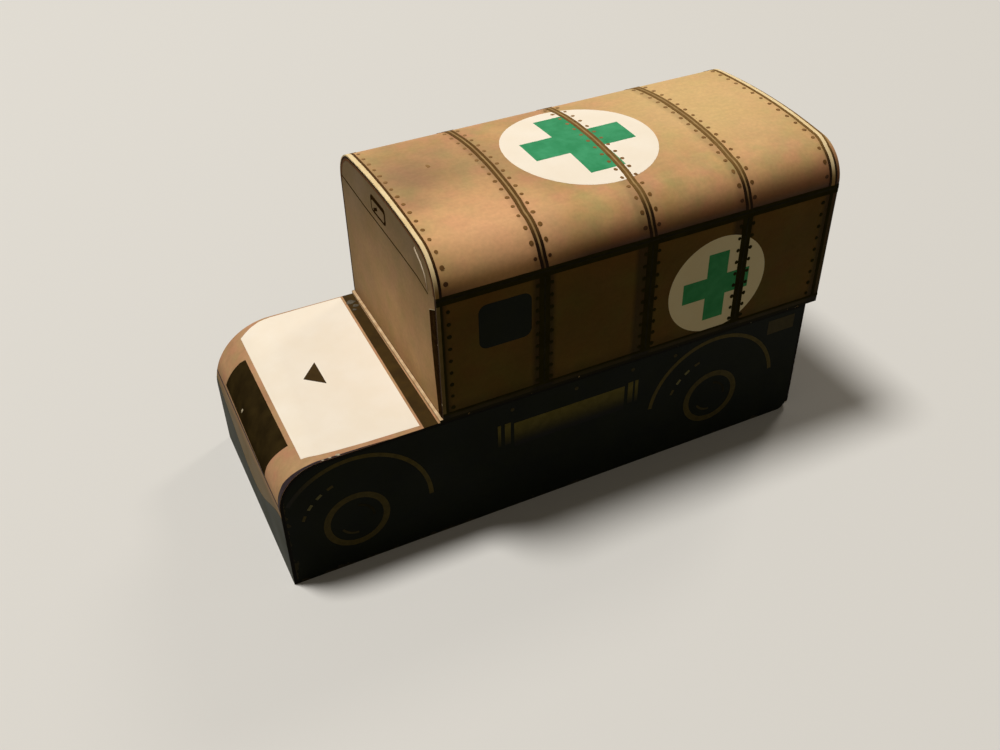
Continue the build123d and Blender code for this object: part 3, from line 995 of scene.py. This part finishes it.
tail = {
    "barHalf": 9.0, "bars": ((5.2, 5.5), (6.9, 7.2)), "lampX": 9.2, "lampZ": 9.4, "lampOuter": 0.75,
    "lampInner": 0.5, "cornerMiddle": 0.3,    # the crushed corner's middle, from the square corner
}
middle = tail["cornerMiddle"]
panel = [(-chassisHalf, 0.0), (chassisHalf - crushed, 0.0), (chassisHalf - middle, middle),
         (chassisHalf, crushed), (chassisHalf, cardTop), (-chassisHalf, cardTop)]
bars = [rectangle(-tail["barHalf"], tail["barHalf"], a, b) for a, b in tail["bars"]]
lamps = [quad for side in (-1, 1) for quad in
         arcBand(side * tail["lampX"], tail["lampZ"], tail["lampOuter"], tail["lampInner"], count=24)]
layInks(onTail, (
    ("tailPrint", [panel], 0, blackChassis), ("tailBumper", bars, 1, oliveInk),
    ("tailLamps", lamps, 1, oliveInk)))
print("tail printed")


# Floor, world and lamps
studio = {
    "floor": "#dcdad5", "floorBounce": "#746c48", "floorHalf": 3.0, "backdrop": "#dbd9d3",
    "sweepStart": 0.12, "sweepEnd": 0.6,    # distances over which the floor turns into the backdrop
    "ambient": 0.105, "ambientColour": "#fff2dc",
    "topPlace": (-0.205, -0.28, 1.0), "topSize": 0.26, "topPower": 9.55, "topColour": "#fffdfa",
    "keyPlace": (-0.21, 0.38, 0.42), "keySize": 0.12, "keyPower": 0.42, "keyColour": "#fff8ee",
    "aim": (0, 0, 0.015),
}


def showsPlainly(tree):
    # one for rays from the camera and for those that a glossy or clear surface sends on
    path = addNode(tree, "ShaderNodeLightPath").outputs
    either = addNode(tree, "ShaderNodeMath", {0: path["Is Camera Ray"], 1: path["Is Glossy Ray"]},
                     operation="MAXIMUM").outputs[0]
    return addNode(tree, "ShaderNodeMath", {0: either, 1: path["Is Transmission Ray"]},
                   operation="MAXIMUM").outputs[0]


reach = studio["floorHalf"]
floorDrop = -0.00002    # the floor lies just below the card's edges
floorMesh = bpy.data.meshes.new("floor")
floorMesh.from_pydata([(-reach, -reach, floorDrop), (reach, -reach, floorDrop), (reach, reach, floorDrop),
                       (-reach, reach, floorDrop)], [], [(0, 1, 2, 3)])
floor = bpy.data.objects.new("floor", floorMesh)
bpy.context.scene.collection.objects.link(floor)
floorMaterial, floorTree = newMaterial("palePaperSweep")
pale = addNode(floorTree, "ShaderNodeBsdfDiffuse", {"Color": linear(studio["floor"])})
dim = addNode(floorTree, "ShaderNodeBsdfDiffuse", {"Color": linear(studio["floorBounce"])})
onFloor = addNode(floorTree, "ShaderNodeTexCoord").outputs["Object"]
fromMiddle = addNode(floorTree, "ShaderNodeVectorMath", {0: onFloor}, operation="LENGTH").outputs["Value"]
sweep = addNode(floorTree, "ShaderNodeMapRange", {"Value": fromMiddle, "From Min": studio["sweepStart"],
                "From Max": studio["sweepEnd"]}, interpolation_type="SMOOTHSTEP").outputs[0]
wall = addNode(floorTree, "ShaderNodeEmission", {"Color": linear(studio["backdrop"])})
seen = addNode(floorTree, "ShaderNodeMixShader", {0: sweep, 1: pale.outputs[0], 2: wall.outputs[0]})
floorMix = addNode(floorTree, "ShaderNodeMixShader", {0: showsPlainly(floorTree), 1: dim.outputs[0],
                   2: seen.outputs[0]})
addNode(floorTree, "ShaderNodeOutputMaterial", {"Surface": floorMix.outputs[0]})
floorMesh.materials.append(floorMaterial)

world = bpy.data.worlds.new("softRoom")
bpy.context.scene.world = world
world.use_nodes = True
world.node_tree.nodes.clear()
room = world.node_tree
ambient = addNode(room, "ShaderNodeBackground", {"Color": linear(studio["ambientColour"]),
                  "Strength": studio["ambient"]})
backdrop = addNode(room, "ShaderNodeBackground", {"Color": linear(studio["backdrop"]), "Strength": 1.0})
roomMix = addNode(room, "ShaderNodeMixShader", {0: showsPlainly(room), 1: ambient.outputs[0],
                  2: backdrop.outputs[0]})
addNode(room, "ShaderNodeOutputWorld", {"Surface": roomMix.outputs[0]})


def softLight(name, place, size, power, colour):
    data = bpy.data.lights.new(name, "AREA")
    data.shape = "DISK"
    data.size = size
    data.energy = power
    data.color = linear(colour)[:3]
    lamp = bpy.data.objects.new(name, data)
    lamp.location = place
    lamp.rotation_euler = (Vector(studio["aim"]) - Vector(place)).to_track_quat("-Z", "Y").to_euler()
    bpy.context.scene.collection.objects.link(lamp)


softLight("topLight", studio["topPlace"], studio["topSize"], studio["topPower"], studio["topColour"])
softLight("keyLight", studio["keyPlace"], studio["keySize"], studio["keyPower"], studio["keyColour"])
bpy.context.scene.view_settings.view_transform = "Standard"
print("studio lit")
